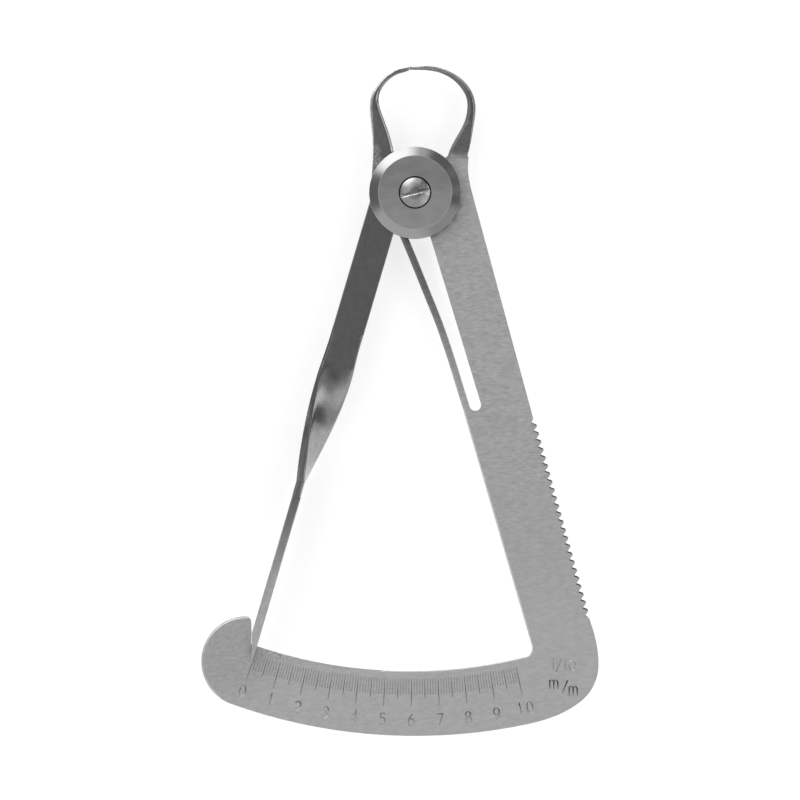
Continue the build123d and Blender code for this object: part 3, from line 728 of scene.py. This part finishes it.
def tilted(side_share, up_share):
    """The direction with a share of the strip's side and a share of straight up."""
    upward = step(quarter_twist, "ShaderNodeCombineXYZ", Z=up_share)
    return vector_of(quarter_twist, "ADD", scaled(quarter_twist, given["Side"], side_share),
                     upward)


sine, cosine = twist_of("SINE", turn), twist_of("COSINE", turn)
crown = scaled(quarter_twist, tilted(sine, cosine), swell)
inward = twist_of("MULTIPLY", twist_of("MULTIPLY", necked, given["Neck"]),
                  twist_of("MULTIPLY", place["X"], -1.0))
across = tilted(cosine, twist_of("MULTIPLY", sine, -1.0))
inward = scaled(quarter_twist, across, inward)
twist_form = step(quarter_twist, "GeometryNodeSetPosition", Geometry=swept,
                  Offset=vector_of(quarter_twist, "ADD", crown, inward))
twist_form = made_solid(quarter_twist, twist_form, given["Finish"])

# The edge that ends up on top is painted dark while it turns, as shade.
edge_shade_from, edge_shade_to = 1.07, 0.99
shaded_edge = twist_of("MULTIPLY", twist_of("GREATER_THAN", off, edge_shade_from),
                     twist_of("LESS_THAN", twisted, edge_shade_to))
twist_form = step(quarter_twist, "GeometryNodeSetMaterial", Geometry=twist_form,
                  Selection=shaded_edge, Material=given["Edge Finish"])
quarter_twist.links.new(twist_form, wanted["Geometry"])

form_length = form_to - form_from
twist_mesh = formed("twist_form", quarter_twist, [strip_point(form_from), strip_point(form_to)],
                    Width=strip_width * MM, Thickness=strip_thick * MM, Round=strip_round * MM,
                    Start=(twist_from - form_from) / form_length,
                    End=(twist_to - form_from) / form_length, Drift=twist_drift * MM,
                    Neck=twist_neck, Crown=twist_crown * MM, Side=strip_side,
                    Steps=twist_steps, Finish=arm_steel, Edge_Finish=twist_edge_shade)

# The twist is let into the arm between two cuts where the strip is straight.
tip_thin_y = 16.5
cuts, lap, near_cut = (form_from - 1.5, form_to + 0.3), 0.3, 2.0
arm_shape = rough_shape("pointer_arm", thin_from=tip_thin_y)
for s in (cuts[0] - lap, *cuts, cuts[1] + lap):
    whole = arm_shape.verts[:] + arm_shape.edges[:] + arm_shape.faces[:]
    bmesh.ops.bisect_plane(arm_shape, geom=whole, dist=0.0001 * MM,
                           plane_co=strip_point(s) * MM, plane_no=strip_way)


def down_strip(place):
    """How far along the strip a place lies, in millimetres."""
    return (place / MM - strip_point(0)).dot(strip_way)


def between_cuts(face):
    """True on the stretch of the strip that is twisted."""
    return cuts[0] < down_strip(face.calc_center_median()) < cuts[1]


straight = [face for face in arm_shape.faces if between_cuts(face)]
bmesh.ops.delete(arm_shape, geom=straight, context="FACES")
arm_shape.from_mesh(twist_mesh)
for s in cuts:
    rims = [side for side in arm_shape.edges
            if side.is_boundary and abs(down_strip(side.verts[0].co) - s) < near_cut]
    bmesh.ops.bridge_loops(arm_shape, edges=rims)
bmesh.ops.recalc_face_normals(arm_shape, faces=arm_shape.faces)

# The left jaw's facet is painted as a bright line, a painted highlight, with a dark ring round
# it as painted shade, and its outer slope is painted lighter, as a highlight.
facet_highlight_steel = steel("facet painted highlight steel", brush_grain, brushed(1.0, 0.3, 2.0), dark=0.85,
                    light=0.95, smooth=0.18, rough=0.25, depth=0.001)
facet_shade_steel = steel("dull facet steel", brush_grain, brushed(1.0, 0.3, 2.0), dark=0.08,
                  light=0.12, smooth=0.4, rough=0.5, depth=0.001)
lit_slope_steel = steel("rubbed jaw steel", brush_grain, brushed(0.8, 0.2, 3.0), dark=0.50,
                     light=0.75, smooth=0.3, rough=0.4, depth=0.003)
arm_finishes = [arm_steel, facet_highlight_steel, facet_shade_steel, twist_edge_shade, lit_slope_steel]
plain, bright, dark, painted_shade, lit_slope = range(len(arm_finishes))
lit_slope_from_y, lit_slope_range, lit_slope_outward = 7.0, (0.3, 0.96), 0.25
facet_from_y, facet_to_y, facet_slope, facet_inward = 5.0, 13.5, (0.78, 0.92), 0.3
facet_rim = 0.1
edge_shade_slot = twist_mesh.materials.find(twist_edge_shade.name)
facet = []
for face in arm_shape.faces:
    is_edge_shade = between_cuts(face) and face.material_index == edge_shade_slot
    face.material_index = painted_shade if is_edge_shade else plain
    middle_y = face.calc_center_median().y / MM
    on_jaw = middle_y > lit_slope_from_y
    if on_jaw and slopes(face, *lit_slope_range) and towards_bow(face) < -lit_slope_outward:
        face.material_index = lit_slope
    on_facet = facet_from_y < middle_y < facet_to_y
    if on_facet and slopes(face, *facet_slope) and towards_bow(face) > facet_inward:
        facet.append(face)
rings = bmesh.ops.inset_region(arm_shape, faces=facet, thickness=facet_rim * MM,
                               use_even_offset=True)["faces"]
for face in rings:
    face.material_index = dark
for face in facet:
    face.material_index = bright


def is_below_tip(side):
    """False at the jaw's thin tip, whose corners are ground keen."""
    return side.verts[0].co.y < tip_thin_y * MM


finished(arm_shape, "pointer_arm", "pointer", edge=0.04 * MM,
         finishes=arm_finishes, keep=is_below_tip)

# Spring stud
# A short shouldered pin riveted in the pointer arm's back. The leaf pushes on it.
finished(rough_shape("spring_stud"), "spring_stud", "pointer", edge=0.03 * MM,
         finishes=[turned_steel])

# Pivot bush
# The turned sleeve on which both arms turn.
finished(rough_shape("pivot_bush"), "pivot_bush", "frame", edge=0.03 * MM,
         finishes=[turned_steel])

# Front disc
# A turned and bevelled cover disc with a counterbore for the screw's head, rubbed down after
# turning so that hardly a ring is left on it. Painted shade darkens the counterbore.
disc_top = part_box("front_disc")[1].z
counterbore_r, wall_slack, rim_slack = 2.44, 0.02, 0.1
# The face is painted lighter towards the bottom, as light, and the bevel darker at its lower right, as
# shade. The recess steel paints the counterbore near black, as shade.
disc_steel = steel(
    "satin disc steel", brush_grain, brushed(4.0, 1.4, 2.0), dark=0.61, light=0.77,
    smooth=0.24, rough=0.27, depth=0.0003, turn=8.0, tones=[(3.0, -5.5, 1.26, 1.0)])
bevel_steel = steel(
    "turned bevel steel", turned_rings, {"Pitch": 0.12}, dark=0.48, light=0.54, smooth=0.15,
    rough=0.20, depth=0.0005, spots=[(4.4, -4.0, 5.0, -0.32, 0.0)])
recess_shade_steel = steel("recess painted shade steel", turned_rings, {"Pitch": 0.1}, dark=0.03, light=0.06,
                     smooth=0.4, rough=0.6, depth=0.004)
disc_finishes = [disc_steel, bevel_steel, recess_shade_steel]
bevel_finish, recess_shade_finish = 1, 2
disc_shape = rough_shape("front_disc")
for face in disc_shape.faces:
    middle = face.calc_center_median()
    in_recess = middle.xy.length < (counterbore_r + wall_slack) * MM
    if middle.z < disc_top - wall_slack * MM:
        face.material_index = recess_shade_finish if in_recess else bevel_finish


def is_outer(side):
    """True on the disc's outer corners, and false on the counterbore's, which is left keen."""
    return side.verts[0].co.xy.length > (counterbore_r + rim_slack) * MM


finished(disc_shape, "front_disc", "frame", edge=0.03 * MM,
         finishes=disc_finishes, corner=20.0, keep=is_outer)

# Pivot screw
# A polished screw with a domed head and one slot. Painted shade darkens the head's side, and
# the slot's lower rim is raised, bevelled and painted bright, as a highlight.
# The head is painted darker and made rougher towards the bottom, and painted darker to the upper right of
# its middle, as shade.
screw_steel = steel(
    "polished screw steel", brush_grain, brushed(1.5, 1.1, 1.5), dark=0.45, light=0.62,
    smooth=0.12, rough=0.26, depth=0.02, tones=[(0.6, -1.2, 0.8, 1.4)],
    spots=[(1.3, 0.9, 1.3, -0.4, 0.3)])
slot_rim_highlight_steel = steel(
    "slot rim painted highlight steel", brush_grain, brushed(1.5, 1.1, 1.5), dark=0.85, light=0.95,
    smooth=0.3, rough=0.4, depth=0.001)
screw_finishes = [screw_steel, recess_shade_steel, slot_rim_highlight_steel]
side_finish, rim_highlight_finish = 1, 2
rim_width, rim_lift, rim_angle, rim_facing_up = 0.17, 0.1, 1.2, 0.8
head_height, side_tilt, wall_tilt, wall_facing = 0.6, 0.3, 0.1, 0.9
screw_shape = rough_shape("pivot_screw")
head_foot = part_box("pivot_screw")[1].z - head_height * MM
for face in screw_shape.faces:
    on_side = abs(face.normal.z) < side_tilt and face.calc_center_median().z < head_foot
    face.material_index = side_finish if on_side else 0


def on_slot_wall(thing):
    """True if an edge or a corner belongs to the slot's lower wall."""
    return any(abs(face.normal.z) < wall_tilt and face.normal.y > wall_facing
               for face in thing.link_faces)


lower_rim = [side for side in screw_shape.edges
             if side.is_manifold and side.calc_face_angle_signed(0.0) > rim_angle
             and any(face.normal.z > rim_facing_up for face in side.link_faces)
             and on_slot_wall(side) and min(vert.co.z for vert in side.verts) > head_foot]
rim = bmesh.ops.bevel(screw_shape, geom=lower_rim, offset=rim_width * MM, segments=1,
                      affect="EDGES", material=rim_highlight_finish)["faces"]
for vert in {vert for face in rim for vert in face.verts}:
    if on_slot_wall(vert):
        vert.co.z += rim_lift * MM
finished(screw_shape, "pivot_screw", "frame", edge=0.04 * MM,
         finishes=screw_finishes, corner=20.0)

# Table top
# A plain white top that the caliper lies on. It looks white to the camera and to polished
# metal, and it keeps a soft shadow.
table_size, table_gap = 2.0, 0.05
paper_white, paper_glow = 0.75, 0.60
table_z = cad_box[0].z - table_gap * MM
bpy.ops.mesh.primitive_plane_add(size=table_size, location=(0, 0, table_z))
table_top = bpy.context.object
table_top.name = "table_top"
table_white = bpy.data.materials.new("table white")
table_white.use_nodes = True
table_tree = table_white.node_tree
table_tree.nodes.clear()
paper = step(table_tree, "ShaderNodeBsdfDiffuse",
             Color=(paper_white, paper_white, paper_white, 1))
glow = step(table_tree, "ShaderNodeEmission", Color=(1, 1, 1, 1), Strength=paper_glow)
ray = put(table_tree, "ShaderNodeLightPath").outputs
looked_at = math_of(table_tree, "MAXIMUM", ray["Is Camera Ray"], ray["Is Glossy Ray"])
looked_at = math_of(table_tree, "MAXIMUM", looked_at, ray["Is Transmission Ray"])
nothing = step(table_tree, "ShaderNodeBsdfTransparent", Color=(0, 0, 0, 1))
shine = step(table_tree, "ShaderNodeMixShader", i0=looked_at, i1=nothing, i2=glow)
total = step(table_tree, "ShaderNodeAddShader", i0=paper, i1=shine)
put(table_tree, "ShaderNodeOutputMaterial", Surface=total)
table_top.data.materials.append(table_white)

# Studio
# A white light tent with a round hole in its top for the lens, lights at the jaws' end and on
# the right, and dark flags between them.
world = bpy.data.worlds.new("light tent")
bpy.context.scene.world = world
world.use_nodes = True
tent = world.node_tree
tent.nodes.clear()
way = put(tent, "ShaderNodeTexCoord").outputs["Generated"]


def panel(glow, azimuth, off_top, inner, outer, change):
    """Adds light within an angle of a direction, or takes it away, fading to the outer angle."""
    azimuth, off_top, inner, outer = map(math.radians, (azimuth, off_top, inner, outer))
    aim = (math.sin(off_top) * math.cos(azimuth), math.sin(off_top) * math.sin(azimuth),
           math.cos(off_top))
    near = put(tent, "ShaderNodeVectorMath", {"operation": "DOT_PRODUCT"}, i0=way, i1=aim)
    share = eased(tent, near.outputs["Value"], math.cos(outer), math.cos(inner), 0.0, change)
    return math_of(tent, "ADD", glow, share)


# Each panel: its azimuth and its angle from straight up, its inner and outer reach, its light.
tent_glow, least_glow = 0.62, 0.03
panels = [(0, 0, 14, 28, -0.36), (-8, 28, 8, 18, -0.25), (5, 54, 6, 17, 0.9),
          (-42, 48, 8, 22, 0.35), (118, 68, 12, 34, 1.3), (5, 84, 18, 32, -0.5),
          (178, 76, 14, 33, -0.44), (72, 26, 8, 16, -0.25), (50, 72, 10, 26, -0.45)]
light = tent_glow
for values in panels:
    light = panel(light, *values)
light = math_of(tent, "MAXIMUM", light, least_glow)
lit = step(tent, "ShaderNodeBackground", Color=(1, 1, 1, 1), Strength=light)
white = step(tent, "ShaderNodeBackground", Color=(1, 1, 1, 1), Strength=1.0)
to_camera = put(tent, "ShaderNodeLightPath").outputs["Is Camera Ray"]
shown = step(tent, "ShaderNodeMixShader", i0=to_camera, i1=lit, i2=white)
put(tent, "ShaderNodeOutputWorld", Surface=shown)

# Camera
# Straight above the caliper, as in the photograph, with the jaws at the top.
view_width, view_distance = 119.4 * MM, 1.2
view_centre = (-2.24 * MM, -30.90 * MM)
lens = bpy.data.cameras.new("camera")
lens.sensor_width = 36.0
lens.lens = lens.sensor_width * view_distance / view_width
camera = bpy.data.objects.new("camera", lens)
bpy.context.scene.collection.objects.link(camera)
camera.location = (*view_centre, plate_top + view_distance)
bpy.context.scene.camera = camera
bpy.context.scene.view_settings.view_transform = "Standard"
